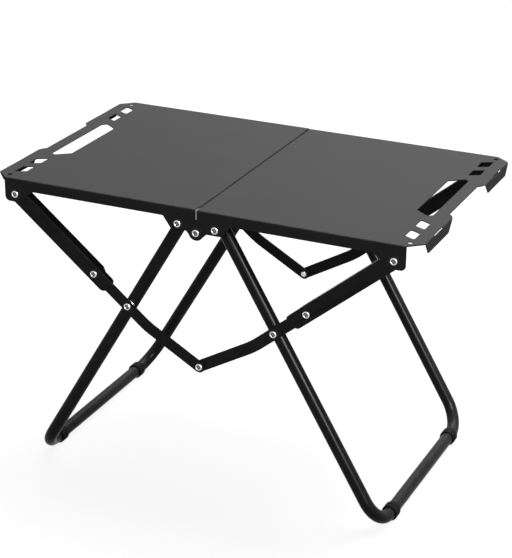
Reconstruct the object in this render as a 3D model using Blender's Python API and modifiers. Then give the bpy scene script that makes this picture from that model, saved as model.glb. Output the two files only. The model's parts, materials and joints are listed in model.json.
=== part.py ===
# Folding camping table. Two sheet steel tops fold down about one hinge, each on a
# U shaped tube leg. On the near and the far side a link and a bar join each top to
# its leg, and the two bars of a side meet at the bottom.
# Origin on the floor under the middle of the hinge, +X along the table, +Z up.
# The right half is the left half turned by half a turn about Z.

import math

import bmesh
import bpy
from mathutils import Matrix, Vector

MM = 0.001
QUARTER_TURN = math.pi / 2

# Outside size
TABLE_HEIGHT = 421 * MM
TABLE_WIDTH = 370 * MM
HALF_LENGTH = 303 * MM

# Sheet metal: thickness, outer bend radii, and the gap between touching pieces
SHEET = 1.5 * MM
TOP_BEND = 2 * MM
LINK_BEND = 2.4 * MM
JOINT_GAP = 0.3 * MM

# Pivots of one half, along X from the middle and down from the top or up from the floor
HINGE_DROP = 31.2 * MM
LEG_PIVOT_X = 27 * MM
LEG_PIVOT_DROP = 23.2 * MM
LINK_PIVOT_X = 269 * MM
LINK_PIVOT_DROP = 22 * MM
CROSS_X = 105.4 * MM
CROSS_Z = 264.6 * MM
BOTTOM_Z = 197.4 * MM
# The elbow lies on the straight line from the link pivot to the cross pivot
ELBOW_SHARE = 0.7065

# Gap between the two tops at the hinge, and the stiffening lip that each top has along it
TOPS_GAP = 1.6 * MM
LIP_HALF = 172 * MM
LIP_DEPTH = 8 * MM
LIP_CORNER = 3 * MM
LIP_RELIEF = 1.2 * MM

# Outline of the top, with two tabs at its end and a recess between them
CORNER_CUT = 18.5 * MM
TAB_OUTER_END = 167.5 * MM
TAB_INNER_END = 65 * MM
TAB_DEPTH = 16.4 * MM
TAB_TAPER_OUT = 11.5 * MM
TAB_TAPER_IN = 15.5 * MM
TAB_CORNER_RADIUS = 4 * MM
TAB_RELIEF = 0.6 * MM
RECESS_X = 295 * MM
RECESS_HALF = 56 * MM
RECESS_CORNER_RADIUS = 2 * MM

# Carrying slot
SLOT_INNER_X = 252.5 * MM
SLOT_OUTER_X = 278 * MM
SLOT_CHAMFER_X = 272 * MM
SLOT_INNER_HALF = 60.5 * MM
SLOT_OUTER_HALF = 70 * MM
SLOT_CHAMFER_HALF = 75.5 * MM
SLOT_RADIUS = 4 * MM
SLOT_CHAMFER_RADIUS = 3 * MM

# Hanging holes, round holes and the slits along the tab bends
HANG_HOLE_X = (269.7 * MM, 284.7 * MM)
HANG_HOLE_STARTS = (91.5 * MM, 128.5 * MM)
HANG_HOLE_LENGTH = 22.2 * MM
HANG_HOLE_SLANT = 8 * MM
HANG_HOLE_RADIUS = 2 * MM
ROUND_HOLE_X = 284 * MM
ROUND_HOLE_Y = 170.5 * MM
ROUND_HOLE_RADIUS = 3.4 * MM
SLIT_START = 103.5 * MM
SLIT_END = 134 * MM
# A slit keeps this share of the bend free on both of its sides
SLIT_MARGIN = 0.1

# Side flange of the top, depths down from the top face
STRIP_DEPTH = 15.3 * MM
JOINT_EDGE_DEPTH = 14 * MM
HINGE_LUG_DEPTH = 31 * MM
HINGE_LUG_X = 37 * MM
HINGE_SLOPE_X = 48 * MM
LOBE_RADIUS = 10.5 * MM
LOBE_FILLET = 4.5 * MM
LOBE_START = math.radians(200)
LOBE_END = math.radians(370)
END_LUG_DEPTH = 33 * MM
END_LUG_X = 266 * MM
END_LUG_RADIUS = 7 * MM
END_SLOPE_X = 241 * MM
END_SLOPE_RADIUS = 5 * MM
FLANGE_CORNER_RADIUS = 3 * MM

# Layers in from the outer face of the outer side flange
OUTER_FLANGE_LAYER = 0
INNER_FLANGE_LAYER = SHEET + JOINT_GAP
LINK_LAYER = 3.6 * MM
OUTER_BAR_LAYER = 6.9 * MM
INNER_BAR_LAYER = 9.7 * MM
BAR_THICKNESS = 2.5 * MM
TUBE_LAYER = 12.5 * MM

# Link, an L section whose web narrows past the elbow, where the leg tube swings by
LINK_HALF_HEIGHT = 10.7 * MM
LINK_PAST_ELBOW = 27.5 * MM
LINK_PIVOT_END_RADIUS = 8 * MM
LINK_ELBOW_END_RADIUS = 9 * MM
WEB_DEPTH = 14 * MM
WEB_END_DEPTH = 8.6 * MM
WEB_TAPER_START = 151 * MM
WEB_TAPER_END = 159 * MM
WEB_PIVOT_END_RADIUS = 6 * MM
WEB_ELBOW_END_RADIUS = 7 * MM

# Bar, straight until past the cross pivot, with one smooth bend before the bottom pivot
BAR_HALF_WIDTH = 8 * MM
BAR_BEND_PAST_CROSS = 37 * MM
BAR_BEND_RADIUS = 130 * MM

# Leg tube and feet
TUBE_RADIUS = 8.7 * MM
TUBE_WALL = 1.5 * MM
TUBE_BEND_RADIUS = 39 * MM
TUBE_PAST_PIVOT = 10 * MM
FOOT_AXIS_Z = 10.7 * MM
SLEEVE_RADIUS = 11.1 * MM
SLEEVE_LENGTH = 14.4 * MM
SLEEVE_Y = 116.8 * MM

# Rivets, spacers and washers
RIVET_RADIUS = 2.5 * MM
RIVET_HOLE_RADIUS = 2.8 * MM
HEAD_RADIUS = 5 * MM
HEAD_HEIGHT = 1.5 * MM
HEAD_BEVEL = 1 * MM
HEAD_DISH_RADIUS = 2.4 * MM
HEAD_DISH_DEPTH = 0.5 * MM
TAIL_RADIUS = 4.2 * MM
TAIL_HEIGHT = 1.2 * MM
TAIL_BEVEL = 0.4 * MM
SPACER_RADIUS = 4.8 * MM
CROSS_SPACER_RADIUS = 8.6 * MM

# How finely round shapes are divided
BEND_STEPS = 4
CORNER_STEPS = 4
HANG_HOLE_STEPS = 3
LOBE_STEPS = 14
BAR_BEND_STEPS = 6
BAR_END_STEPS = 10
TUBE_BEND_STEPS = 7
TUBE_ROUNDNESS = 3
HOLE_SIDES = 16
TUBE_HOLE_SIDES = 20
SLEEVE_SIDES = 24
RIVET_SIDES = 12
SMOOTH_ANGLE = math.radians(35)
MERGE_DISTANCE = 0.01 * MM
BISECT_DISTANCE = 0.001 * MM

NEAR = -1
FAR = 1
SIDE_NAMES = {NEAR: "near", FAR: "far"}
# On the left half the near flange lies inside the right half's, and the near bar outside
LEFT_FLANGE_LAYER = {NEAR: INNER_FLANGE_LAYER, FAR: OUTER_FLANGE_LAYER}
LEFT_BAR_LAYER = {NEAR: OUTER_BAR_LAYER, FAR: INNER_BAR_LAYER}

HALF_WIDTH = TABLE_WIDTH / 2
HINGE = Vector((0, TABLE_HEIGHT - HINGE_DROP))
LEG_PIVOT = Vector((-LEG_PIVOT_X, TABLE_HEIGHT - LEG_PIVOT_DROP))
LINK_PIVOT = Vector((-LINK_PIVOT_X, TABLE_HEIGHT - LINK_PIVOT_DROP))
CROSS = Vector((-CROSS_X, CROSS_Z))
BOTTOM = Vector((0, BOTTOM_Z))
ELBOW = LINK_PIVOT.lerp(CROSS, ELBOW_SHARE)


for old in list(bpy.data.objects):
    bpy.data.objects.remove(old, do_unlink=True)

parts = bpy.data.collections.new("camping_table")
cutters = bpy.data.collections.new("cutters")
bpy.context.scene.collection.children.link(parts)
bpy.context.scene.collection.children.link(cutters)


def make_finish(name, colour, roughness, metallic):
    """One Principled material."""
    finish = bpy.data.materials.new(name)
    finish.use_nodes = True
    shader = finish.node_tree.nodes["Principled BSDF"]
    shader.inputs["Base Color"].default_value = (*colour, 1)
    shader.inputs["Roughness"].default_value = roughness
    shader.inputs["Metallic"].default_value = metallic
    return finish


POWDER_COAT = make_finish("powder_coated_steel", (0.09, 0.09, 0.092), 0.6, 0.0)
BLACK_ENAMEL = make_finish("black_enamelled_steel", (0.012, 0.012, 0.013), 0.35, 0.0)
ZINC = make_finish("zinc_plated_steel", (0.72, 0.72, 0.71), 0.3, 1.0)
RUBBER = make_finish("black_rubber", (0.015, 0.015, 0.015), 0.75, 0.0)


def arc(centre, start, sweep, steps):
    """Points of an arc about a centre, from a start vector through an angle."""
    return [centre + Matrix.Rotation(sweep * step / steps, 2) @ start for step in range(steps + 1)]


def circle(centre, radius, sides=HOLE_SIDES):
    """Points of a round hole or disc."""
    return arc(Vector(centre), Vector((radius, 0)), 2 * math.pi, sides)[:-1]


def rounded(corners, steps=CORNER_STEPS):
    """Points of a closed outline. Each corner is (x, y, radius)."""
    points = []
    count = len(corners)
    for index, (x, y, radius) in enumerate(corners):
        here = Vector((x, y))
        if radius <= 0:
            points.append(here)
            continue
        back = (Vector(corners[index - 1][:2]) - here).normalized()
        ahead = (Vector(corners[(index + 1) % count][:2]) - here).normalized()
        half_angle = back.angle(ahead) / 2
        centre = here + (back + ahead).normalized() * radius / math.sin(half_angle)
        reach = radius / math.tan(half_angle)
        start = here + back * reach - centre
        end = here + ahead * reach - centre
        points += arc(centre, start, -start.angle_signed(end), steps)
    return points


def flat_curve(name, outlines, thickness=0.0):
    """A flat filled 2D curve, with every outline after the first a hole."""
    curve = bpy.data.curves.new(name, "CURVE")
    curve.dimensions = "2D"
    curve.fill_mode = "BOTH"
    curve.extrude = thickness / 2
    for outline in outlines:
        spline = curve.splines.new("POLY")
        spline.points.add(len(outline) - 1)
        for point, (x, y) in zip(spline.points, outline):
            point.co = (x, y, 0, 1)
        spline.use_cyclic_u = True
    return bpy.data.objects.new(name, curve)


def evaluated_mesh(source, name):
    """A new mesh of an object with its modifiers applied."""
    bpy.context.view_layer.update()
    evaluated = source.evaluated_get(bpy.context.evaluated_depsgraph_get())
    mesh = bpy.data.meshes.new_from_object(evaluated)
    mesh.name = name
    return mesh


def mesh_of(source, name):
    """The mesh of a helper object, which is then removed."""
    parts.objects.link(source)
    mesh = evaluated_mesh(source, name)
    bpy.data.objects.remove(source, do_unlink=True)
    return mesh


def flat_mesh(name, outlines, thickness=0.0):
    """The mesh of a flat curve, with its loose caps joined to its walls."""
    mesh = mesh_of(flat_curve(name, outlines, thickness), name)
    work = bmesh.new()
    work.from_mesh(mesh)
    bmesh.ops.remove_doubles(work, verts=work.verts, dist=MERGE_DISTANCE)
    work.to_mesh(mesh)
    work.free()
    return mesh


def add_part(name, mesh, finish, parent, location, rotation=(0, 0, 0)):
    """Links a mesh as a named part under a parent empty."""
    part = bpy.data.objects.new(name, mesh)
    part.location = location
    part.rotation_euler = rotation
    part.parent = parent
    mesh.materials.clear()
    mesh.materials.append(finish)
    mesh.shade_smooth()
    mesh.set_sharp_from_angle(angle=SMOOTH_ANGLE)
    parts.objects.link(part)
    return part


def bend_sheet(mesh, direction, start, radius, half_length=math.inf):
    """Bends the flat sheet down by a right angle past a line across the direction."""
    direction = Vector((*direction, 0))
    work = bmesh.new()
    work.from_mesh(mesh)
    bend_length = radius * QUARTER_TURN
    for step in range(BEND_STEPS + 1):
        reach = start + bend_length * step / BEND_STEPS
        everything = list(work.verts) + list(work.edges) + list(work.faces)
        bmesh.ops.bisect_plane(work, geom=everything, dist=BISECT_DISTANCE,
                               plane_co=direction * reach, plane_no=direction)
    for vertex in work.verts:
        past = vertex.co.dot(direction) - start
        if past <= 0 or abs(vertex.co.y) > half_length:
            continue
        angle = min(past, bend_length) / radius
        straight = max(past - bend_length, 0)
        along = radius * math.sin(angle)
        down = radius * (1 - math.cos(angle)) + straight
        vertex.co += direction * (along - past) - Vector((0, 0, down))
    work.to_mesh(mesh)
    work.free()


def developed(depth, radius):
    """Length along the sheet, from a bend's start, to a depth below its outer face."""
    return radius * QUARTER_TURN + depth - radius


def thicken(part, thickness):
    """Solidify inward from the outer face."""
    shell = part.modifiers.new("sheet", "SOLIDIFY")
    shell.thickness = thickness
    shell.offset = -1
    shell.use_even_offset = True


def side_y(side, layer):
    """Y of a layer counted in from the outside."""
    return side * (HALF_WIDTH - layer)


def flange_edge(side):
    """How far out the left panel stays flat before a side flange bends down."""
    return HALF_WIDTH - LEFT_FLANGE_LAYER[side] - TOP_BEND


def flange_outline(side):
    """The left panel's side flange in the flat pattern, from its end to the hinge."""
    edge = flange_edge(side)

    def flat_y(depth):
        return edge + developed(depth, TOP_BEND)

    end_x = HALF_LENGTH - CORNER_CUT
    lobe_top = HINGE_LUG_DEPTH + LOBE_FILLET
    points = rounded([
        (-end_x, edge, 0),
        (-end_x, flat_y(END_LUG_DEPTH), END_LUG_RADIUS),
        (-END_LUG_X, flat_y(END_LUG_DEPTH), END_SLOPE_RADIUS),
        (-END_SLOPE_X, flat_y(STRIP_DEPTH), FLANGE_CORNER_RADIUS),
        (-HINGE_SLOPE_X, flat_y(STRIP_DEPTH), FLANGE_CORNER_RADIUS),
        (-HINGE_LUG_X, flat_y(HINGE_LUG_DEPTH), FLANGE_CORNER_RADIUS),
        (-LOBE_RADIUS - LOBE_FILLET, flat_y(HINGE_LUG_DEPTH), FLANGE_CORNER_RADIUS),
        (-LOBE_RADIUS, flat_y(lobe_top), 0),
    ])
    lobe_centre = Vector((0, flat_y(HINGE_DROP)))
    lobe_start = Vector((LOBE_RADIUS, 0))
    lobe_start.rotate(Matrix.Rotation(-LOBE_START, 2))
    points += arc(lobe_centre, lobe_start, LOBE_START - LOBE_END, LOBE_STEPS)
    points.append(Vector((-TOPS_GAP / 2, flat_y(JOINT_EDGE_DEPTH))))
    points.append(Vector((-TOPS_GAP / 2, edge)))
    return [(x, side * y) for x, y in points] + lip_outline(side)


def lip_outline(side):
    """One end of the lip along the hinge in the flat pattern."""
    bend_x = -TOPS_GAP / 2 - TOP_BEND
    lip_x = bend_x + developed(LIP_DEPTH, TOP_BEND)
    points = [
        (-TOPS_GAP / 2, LIP_HALF + LIP_RELIEF),
        (bend_x, LIP_HALF + LIP_RELIEF),
        (bend_x, LIP_HALF),
        (lip_x - LIP_CORNER, LIP_HALF),
        (lip_x, LIP_HALF - LIP_CORNER),
    ]
    return [(x, side * y) for x, y in points]


def end_outline():
    """The left panel's end in the flat pattern, from the near corner to the far one."""
    bend_x = HALF_LENGTH - TOP_BEND
    tab_x = bend_x + developed(TAB_DEPTH, TOP_BEND)
    half = [
        (RECESS_X, RECESS_HALF, RECESS_CORNER_RADIUS),
        (bend_x, TAB_INNER_END - RECESS_CORNER_RADIUS, 0),
        (bend_x, TAB_INNER_END, 0),
        (tab_x, TAB_INNER_END + TAB_TAPER_IN, TAB_CORNER_RADIUS),
        (tab_x, TAB_OUTER_END - TAB_TAPER_OUT, TAB_CORNER_RADIUS),
        (bend_x, TAB_OUTER_END, 0),
        (bend_x, TAB_OUTER_END + TAB_RELIEF, 0),
    ]
    near = [(-x, -y, radius) for x, y, radius in reversed(half)]
    far = [(-x, y, radius) for x, y, radius in half]
    return rounded(near + far)


def carrying_slot():
    """The carrying slot of the left panel."""
    far = [
        (-SLOT_INNER_X, SLOT_INNER_HALF, SLOT_RADIUS),
        (-SLOT_CHAMFER_X, SLOT_CHAMFER_HALF, SLOT_CHAMFER_RADIUS),
        (-SLOT_OUTER_X, SLOT_OUTER_HALF, SLOT_RADIUS),
    ]
    near = [(x, -y, radius) for x, y, radius in reversed(far)]
    return rounded(far + near)


def hanging_hole(side, start):
    """A slanted square hole that starts at a distance from the middle line."""
    inner, outer = HANG_HOLE_X
    end = start + HANG_HOLE_LENGTH
    corners = [
        (-inner, side * start, HANG_HOLE_RADIUS),
        (-inner, side * end, HANG_HOLE_RADIUS),
        (-outer, side * (end + HANG_HOLE_SLANT), HANG_HOLE_RADIUS),
        (-outer, side * (start + HANG_HOLE_SLANT), HANG_HOLE_RADIUS),
    ]
    return rounded(corners, HANG_HOLE_STEPS)


def slit(side):
    """The narrow slit along a tab's bend."""
    bend_x = HALF_LENGTH - TOP_BEND
    bend_length = TOP_BEND * QUARTER_TURN
    first_x = -bend_x - SLIT_MARGIN * bend_length
    last_x = -bend_x - (1 - SLIT_MARGIN) * bend_length
    return [
        (first_x, side * SLIT_START),
        (first_x, side * SLIT_END),
        (last_x, side * SLIT_END),
        (last_x, side * SLIT_START),
    ]


def panel_holes():
    """Every hole of the left panel in the flat pattern."""
    holes = [carrying_slot()]
    pivots = ((0, HINGE_DROP), (-LEG_PIVOT_X, LEG_PIVOT_DROP), (-LINK_PIVOT_X, LINK_PIVOT_DROP))
    for side in (NEAR, FAR):
        for start in HANG_HOLE_STARTS:
            holes.append(hanging_hole(side, start))
        holes.append(circle((-ROUND_HOLE_X, side * ROUND_HOLE_Y), ROUND_HOLE_RADIUS))
        holes.append(slit(side))
        for x, drop in pivots:
            centre_y = side * (flange_edge(side) + developed(drop, TOP_BEND))
            holes.append(circle((x, centre_y), RIVET_HOLE_RADIUS))
    return holes


def make_panel(parent):
    """The left top panel, cut flat and bent along the hinge, its sides and its end."""
    outline = list(reversed(flange_outline(NEAR))) + end_outline() + flange_outline(FAR)
    mesh = flat_mesh("left_top_panel", [outline] + panel_holes())
    bend_sheet(mesh, (1, 0), -TOPS_GAP / 2 - TOP_BEND, TOP_BEND, LIP_HALF + LIP_RELIEF / 2)
    for side in (NEAR, FAR):
        bend_sheet(mesh, (0, side), flange_edge(side), TOP_BEND)
    bend_sheet(mesh, (-1, 0), HALF_LENGTH - TOP_BEND, TOP_BEND)
    mesh.transform(Matrix.Translation((0, 0, HINGE_DROP)))
    panel = add_part("left_top_panel", mesh, POWDER_COAT, parent, (0, 0, HINGE.y))
    thicken(panel, SHEET)


def make_link(side, parent):
    """An L shaped link from the panel's end to the elbow, web on its upper side."""
    along = ELBOW - LINK_PIVOT
    reach = along.length
    end = reach + LINK_PAST_ELBOW
    edge = LINK_HALF_HEIGHT - LINK_BEND
    web = edge + developed(WEB_DEPTH, LINK_BEND)
    web_end = edge + developed(WEB_END_DEPTH, LINK_BEND)
    corners = [
        (-LINK_HALF_HEIGHT, -LINK_HALF_HEIGHT, LINK_PIVOT_END_RADIUS),
        (end, -LINK_HALF_HEIGHT, LINK_ELBOW_END_RADIUS),
        (end, web_end, WEB_ELBOW_END_RADIUS),
        (WEB_TAPER_END, web_end, 0),
        (WEB_TAPER_START, web, 0),
        (-LINK_HALF_HEIGHT, web, WEB_PIVOT_END_RADIUS),
    ]
    outline = [(x, -side * y) for x, y in rounded(corners)]
    holes = [circle((x, 0), RIVET_HOLE_RADIUS) for x in (0, reach)]
    name = f"left_{SIDE_NAMES[side]}_link"
    mesh = flat_mesh(name, [outline] + holes)
    bend_sheet(mesh, (0, -side), edge, LINK_BEND)
    location = (LINK_PIVOT.x, side_y(side, LINK_LAYER), LINK_PIVOT.y)
    # Local Z points out of the table, so the far link is drawn upside down
    rotation = (-side * QUARTER_TURN, -math.atan2(along.y, along.x), 0)
    link = add_part(name, mesh, BLACK_ENAMEL, parent, location, rotation)
    thicken(link, SHEET)


def bar_path():
    """Middle line of the left bar from the elbow, with its smooth bend past the cross pivot."""
    corner = CROSS + (CROSS - ELBOW).normalized() * BAR_BEND_PAST_CROSS
    first = corner - ELBOW
    second = BOTTOM - corner
    turn = -first.angle_signed(second)
    reach = BAR_BEND_RADIUS * math.tan(abs(turn) / 2)
    start = first - first.normalized() * reach
    across = math.copysign(1, turn) * Vector((-first.y, first.x)).normalized()
    centre = start + across * BAR_BEND_RADIUS
    bend = arc(centre, start - centre, turn, BAR_BEND_STEPS)
    return [Vector((0, 0))] + bend + [BOTTOM - ELBOW]


def bar_outline():
    """Outline of the left bar, as wide all along, with round ends."""
    path = bar_path()
    last = len(path) - 1

    def offset(index):
        along = path[min(index + 1, last)] - path[max(index - 1, 0)]
        return Vector((-along.y, along.x)).normalized() * BAR_HALF_WIDTH

    upper = [path[index] + offset(index) for index in range(last + 1)]
    lower = [path[index] - offset(index) for index in range(last + 1)]
    bottom_end = arc(path[last], offset(last), -math.pi, BAR_END_STEPS)[1:-1]
    elbow_end = arc(path[0], -offset(0), -math.pi, BAR_END_STEPS)[1:-1]
    return upper + bottom_end + list(reversed(lower)) + elbow_end


def make_bar(side, parent):
    """A flat bar from the elbow over the leg to the bottom joint."""
    name = f"left_{SIDE_NAMES[side]}_bar"
    holes = [circle(pivot - ELBOW, RIVET_HOLE_RADIUS) for pivot in (ELBOW, CROSS, BOTTOM)]
    mesh = flat_mesh(name, [bar_outline()] + holes, BAR_THICKNESS)
    middle = LEFT_BAR_LAYER[side] + BAR_THICKNESS / 2
    location = (ELBOW.x, side_y(side, middle), ELBOW.y)
    add_part(name, mesh, BLACK_ENAMEL, parent, location, (QUARTER_TURN, 0, 0))


def leg_frame():
    """Length of a leg from its pivot to its foot bar, and its slope."""
    along = CROSS - LEG_PIVOT
    slope = math.atan2(along.y, along.x)
    length = (FOOT_AXIS_Z - LEG_PIVOT.y) / math.sin(slope)
    return length, slope


def drill(part, name, location):
    """Drills a round hole along Y through both walls of a tube, with a wire cutter."""
    bpy.ops.mesh.primitive_cylinder_add(vertices=TUBE_HOLE_SIDES, radius=RIVET_HOLE_RADIUS,
                                        depth=4 * TUBE_RADIUS)
    cutter = bpy.context.object
    cutter.name = name
    cutter.parent = part
    cutter.location = location
    cutter.rotation_euler = (QUARTER_TURN, 0, 0)
    for collection in list(cutter.users_collection):
        collection.objects.unlink(cutter)
    cutters.objects.link(cutter)
    cutter.hide_render = True
    cutter.display_type = "WIRE"
    hole = part.modifiers.new(name, "BOOLEAN")
    hole.operation = "DIFFERENCE"
    hole.object = cutter


def make_leg(parent):
    """The U shaped leg, one bent tube open at its upper ends."""
    length, slope = leg_frame()
    arm_y = HALF_WIDTH - TUBE_LAYER - TUBE_RADIUS
    bend_centre = Vector((length - TUBE_BEND_RADIUS, arm_y - TUBE_BEND_RADIUS))
    bend_start = Vector((0, TUBE_BEND_RADIUS))
    far = [Vector((-TUBE_PAST_PIVOT, arm_y))]
    far += arc(bend_centre, bend_start, -QUARTER_TURN, TUBE_BEND_STEPS)
    path = [(x, -y) for x, y in far] + [(x, y) for x, y in reversed(far)]
    curve = bpy.data.curves.new("leg", "CURVE")
    curve.dimensions = "3D"
    curve.bevel_depth = TUBE_RADIUS
    curve.bevel_resolution = TUBE_ROUNDNESS
    spline = curve.splines.new("POLY")
    spline.points.add(len(path) - 1)
    for point, (x, y) in zip(spline.points, path):
        point.co = (x, y, 0, 1)
    mesh = mesh_of(bpy.data.objects.new("leg", curve), "left_leg_tube")
    location = (LEG_PIVOT.x, 0, LEG_PIVOT.y)
    leg = add_part("left_leg_tube", mesh, BLACK_ENAMEL, parent, location, (0, -slope, 0))
    thicken(leg, TUBE_WALL)
    pivots = {"pivot": 0, "cross": (CROSS - LEG_PIVOT).length}
    for side in (NEAR, FAR):
        for label, x in pivots.items():
            drill(leg, f"{SIDE_NAMES[side]}_{label}_hole", (x, side * arm_y, 0))
    # The holes are applied, because the right leg is a turned copy without the cutters
    leg.data = evaluated_mesh(leg, leg.name)
    leg.modifiers.clear()


def make_sleeve(side, parent):
    """A rubber sleeve on the foot bar, flat where it stands on the floor."""
    length, slope = leg_frame()
    foot_x = LEG_PIVOT.x + length * math.cos(slope)
    flat = math.asin(FOOT_AXIS_Z / SLEEVE_RADIUS)
    start = Matrix.Rotation(-flat, 2) @ Vector((SLEEVE_RADIUS, 0))
    outline = arc(Vector((0, 0)), start, math.pi + 2 * flat, SLEEVE_SIDES)
    bore = circle((0, 0), TUBE_RADIUS + JOINT_GAP, SLEEVE_SIDES)
    name = f"left_{SIDE_NAMES[side]}_foot_sleeve"
    mesh = flat_mesh(name, [outline, bore], SLEEVE_LENGTH)
    location = (foot_x, side * SLEEVE_Y, FOOT_AXIS_Z)
    add_part(name, mesh, RUBBER, parent, location, (QUARTER_TURN, 0, 0))


def turned(profile):
    """Mesh of a profile of (radius, height) pairs turned about Z, closed where it is off the axis."""
    mesh = bpy.data.meshes.new("profile")
    points = [(radius, 0, height) for radius, height in profile]
    edges = [(index, index + 1) for index in range(len(points) - 1)]
    if profile[0][0] > 0:
        edges.append((len(points) - 1, 0))
    mesh.from_pydata(points, edges, [])
    blank = bpy.data.objects.new("profile", mesh)
    screw = blank.modifiers.new("turn", "SCREW")
    screw.steps = RIVET_SIDES
    screw.render_steps = RIVET_SIDES
    screw.use_merge_vertices = True
    screw.merge_threshold = MERGE_DISTANCE
    return mesh_of(blank, "turned")


def rivet_profile(face, tail_face, has_head=True, has_tail=True):
    """A rivet that runs inward. Its head sits just clear of a face, its tail starts at tail_face."""
    top = JOINT_GAP - face if has_head else -face
    bottom = -tail_face
    profile = []
    if has_head:
        crown = top + HEAD_HEIGHT
        profile += [(0, crown - HEAD_DISH_DEPTH), (HEAD_DISH_RADIUS, crown),
                    (HEAD_RADIUS - HEAD_BEVEL, crown), (HEAD_RADIUS, top)]
    else:
        profile += [(0, top)]
    profile += [(RIVET_RADIUS, top), (RIVET_RADIUS, bottom)]
    if has_tail:
        end = bottom - TAIL_HEIGHT
        profile += [(TAIL_RADIUS, bottom), (TAIL_RADIUS - TAIL_BEVEL, end), (0, end)]
    else:
        profile += [(0, bottom)]
    return profile


def ring_profile(outer_face, inner_face, radius=SPACER_RADIUS):
    """A washer, bush or spacer round a rivet, with a gap to the faces on both sides."""
    top = -outer_face - JOINT_GAP
    bottom = -inner_face + JOINT_GAP
    return [(RIVET_HOLE_RADIUS, top), (radius, top),
            (radius, bottom), (RIVET_HOLE_RADIUS, bottom)]


def add_turned(name, finish, parent, centre, side, profile):
    """A turned part whose axis passes through a pivot, with heights in from the outer face."""
    mesh = turned(profile)
    mesh.name = name
    mesh.transform(Matrix.Rotation(-side * QUARTER_TURN, 4, "X"))
    add_part(name, mesh, finish, parent, (centre.x, side * HALF_WIDTH, centre.y))


def make_rivets(side, parent):
    """Rivets, spacers and washers of one side of the left half."""
    flange_face = LEFT_FLANGE_LAYER[side]
    flange_back = flange_face + SHEET
    link_back = LINK_LAYER + SHEET
    bar_face = LEFT_BAR_LAYER[side]
    bar_back = bar_face + BAR_THICKNESS
    tube_back = TUBE_LAYER + 2 * TUBE_RADIUS
    is_outer = bar_face == OUTER_BAR_LAYER
    gap = JOINT_GAP

    def add(kind, centre, profile, finish=ZINC):
        add_turned(f"left_{SIDE_NAMES[side]}_{kind}", finish, parent, centre, side, profile)

    add("leg_pivot_rivet", LEG_PIVOT, rivet_profile(flange_face, tube_back + gap))
    add("leg_pivot_spacer", LEG_PIVOT, ring_profile(flange_back, TUBE_LAYER), BLACK_ENAMEL)
    add("corner_rivet", LINK_PIVOT, rivet_profile(flange_face, link_back + gap))
    if not is_outer:
        add("corner_washer", LINK_PIVOT, ring_profile(flange_back, LINK_LAYER))
    elbow_tail = bar_back + gap if is_outer else bar_back
    add("elbow_rivet", ELBOW, rivet_profile(LINK_LAYER, elbow_tail, has_tail=is_outer))
    add("elbow_bush", ELBOW, ring_profile(link_back, bar_face))
    # Where the linkage is opened, each of the two moving pieces keeps its end of the rivet
    add("cross_rivet", CROSS, rivet_profile(bar_face, TUBE_LAYER - gap, has_tail=False))
    add("cross_rivet_end", CROSS, rivet_profile(TUBE_LAYER, tube_back + gap, has_head=False))
    if is_outer:
        add("cross_spacer", CROSS, ring_profile(bar_back, TUBE_LAYER, CROSS_SPACER_RADIUS))
        add("bottom_rivet", BOTTOM, rivet_profile(bar_face, bar_back, has_tail=False))
    else:
        add("bottom_rivet_end", BOTTOM, rivet_profile(bar_face, bar_back + gap, has_head=False))


def make_hinge_rivets(parent):
    """The two rivets that hinge the panels together."""
    tail_face = INNER_FLANGE_LAYER + SHEET + JOINT_GAP
    for side in (NEAR, FAR):
        name = f"{SIDE_NAMES[side]}_hinge_rivet"
        add_turned(name, ZINC, parent, HINGE, side, rivet_profile(0, tail_face))


def copy_to_right(left_half, right_half):
    """Turns a copy of every left piece by half a turn, so near becomes far."""
    twin_names = {"near": "far", "far": "near"}
    for part in list(parts.objects):
        if part.parent != left_half:
            continue
        words = part.name.replace("left_", "right_", 1).split("_")
        twin = part.copy()
        twin.name = "_".join(twin_names.get(word, word) for word in words)
        twin.parent = right_half
        parts.objects.link(twin)


def main():
    left_half = bpy.data.objects.new("left_half", None)
    right_half = bpy.data.objects.new("right_half", None)
    right_half.rotation_euler = (0, 0, math.pi)
    for empty in (left_half, right_half):
        parts.objects.link(empty)
    make_panel(left_half)
    make_leg(left_half)
    for side in (NEAR, FAR):
        make_link(side, left_half)
        make_bar(side, left_half)
        make_sleeve(side, left_half)
        make_rivets(side, left_half)
    copy_to_right(left_half, right_half)
    make_hinge_rivets(left_half)
    bpy.context.view_layer.update()


main()
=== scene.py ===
import json
import math

import bmesh
import bpy
from mathutils import Euler, Matrix, Vector


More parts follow.
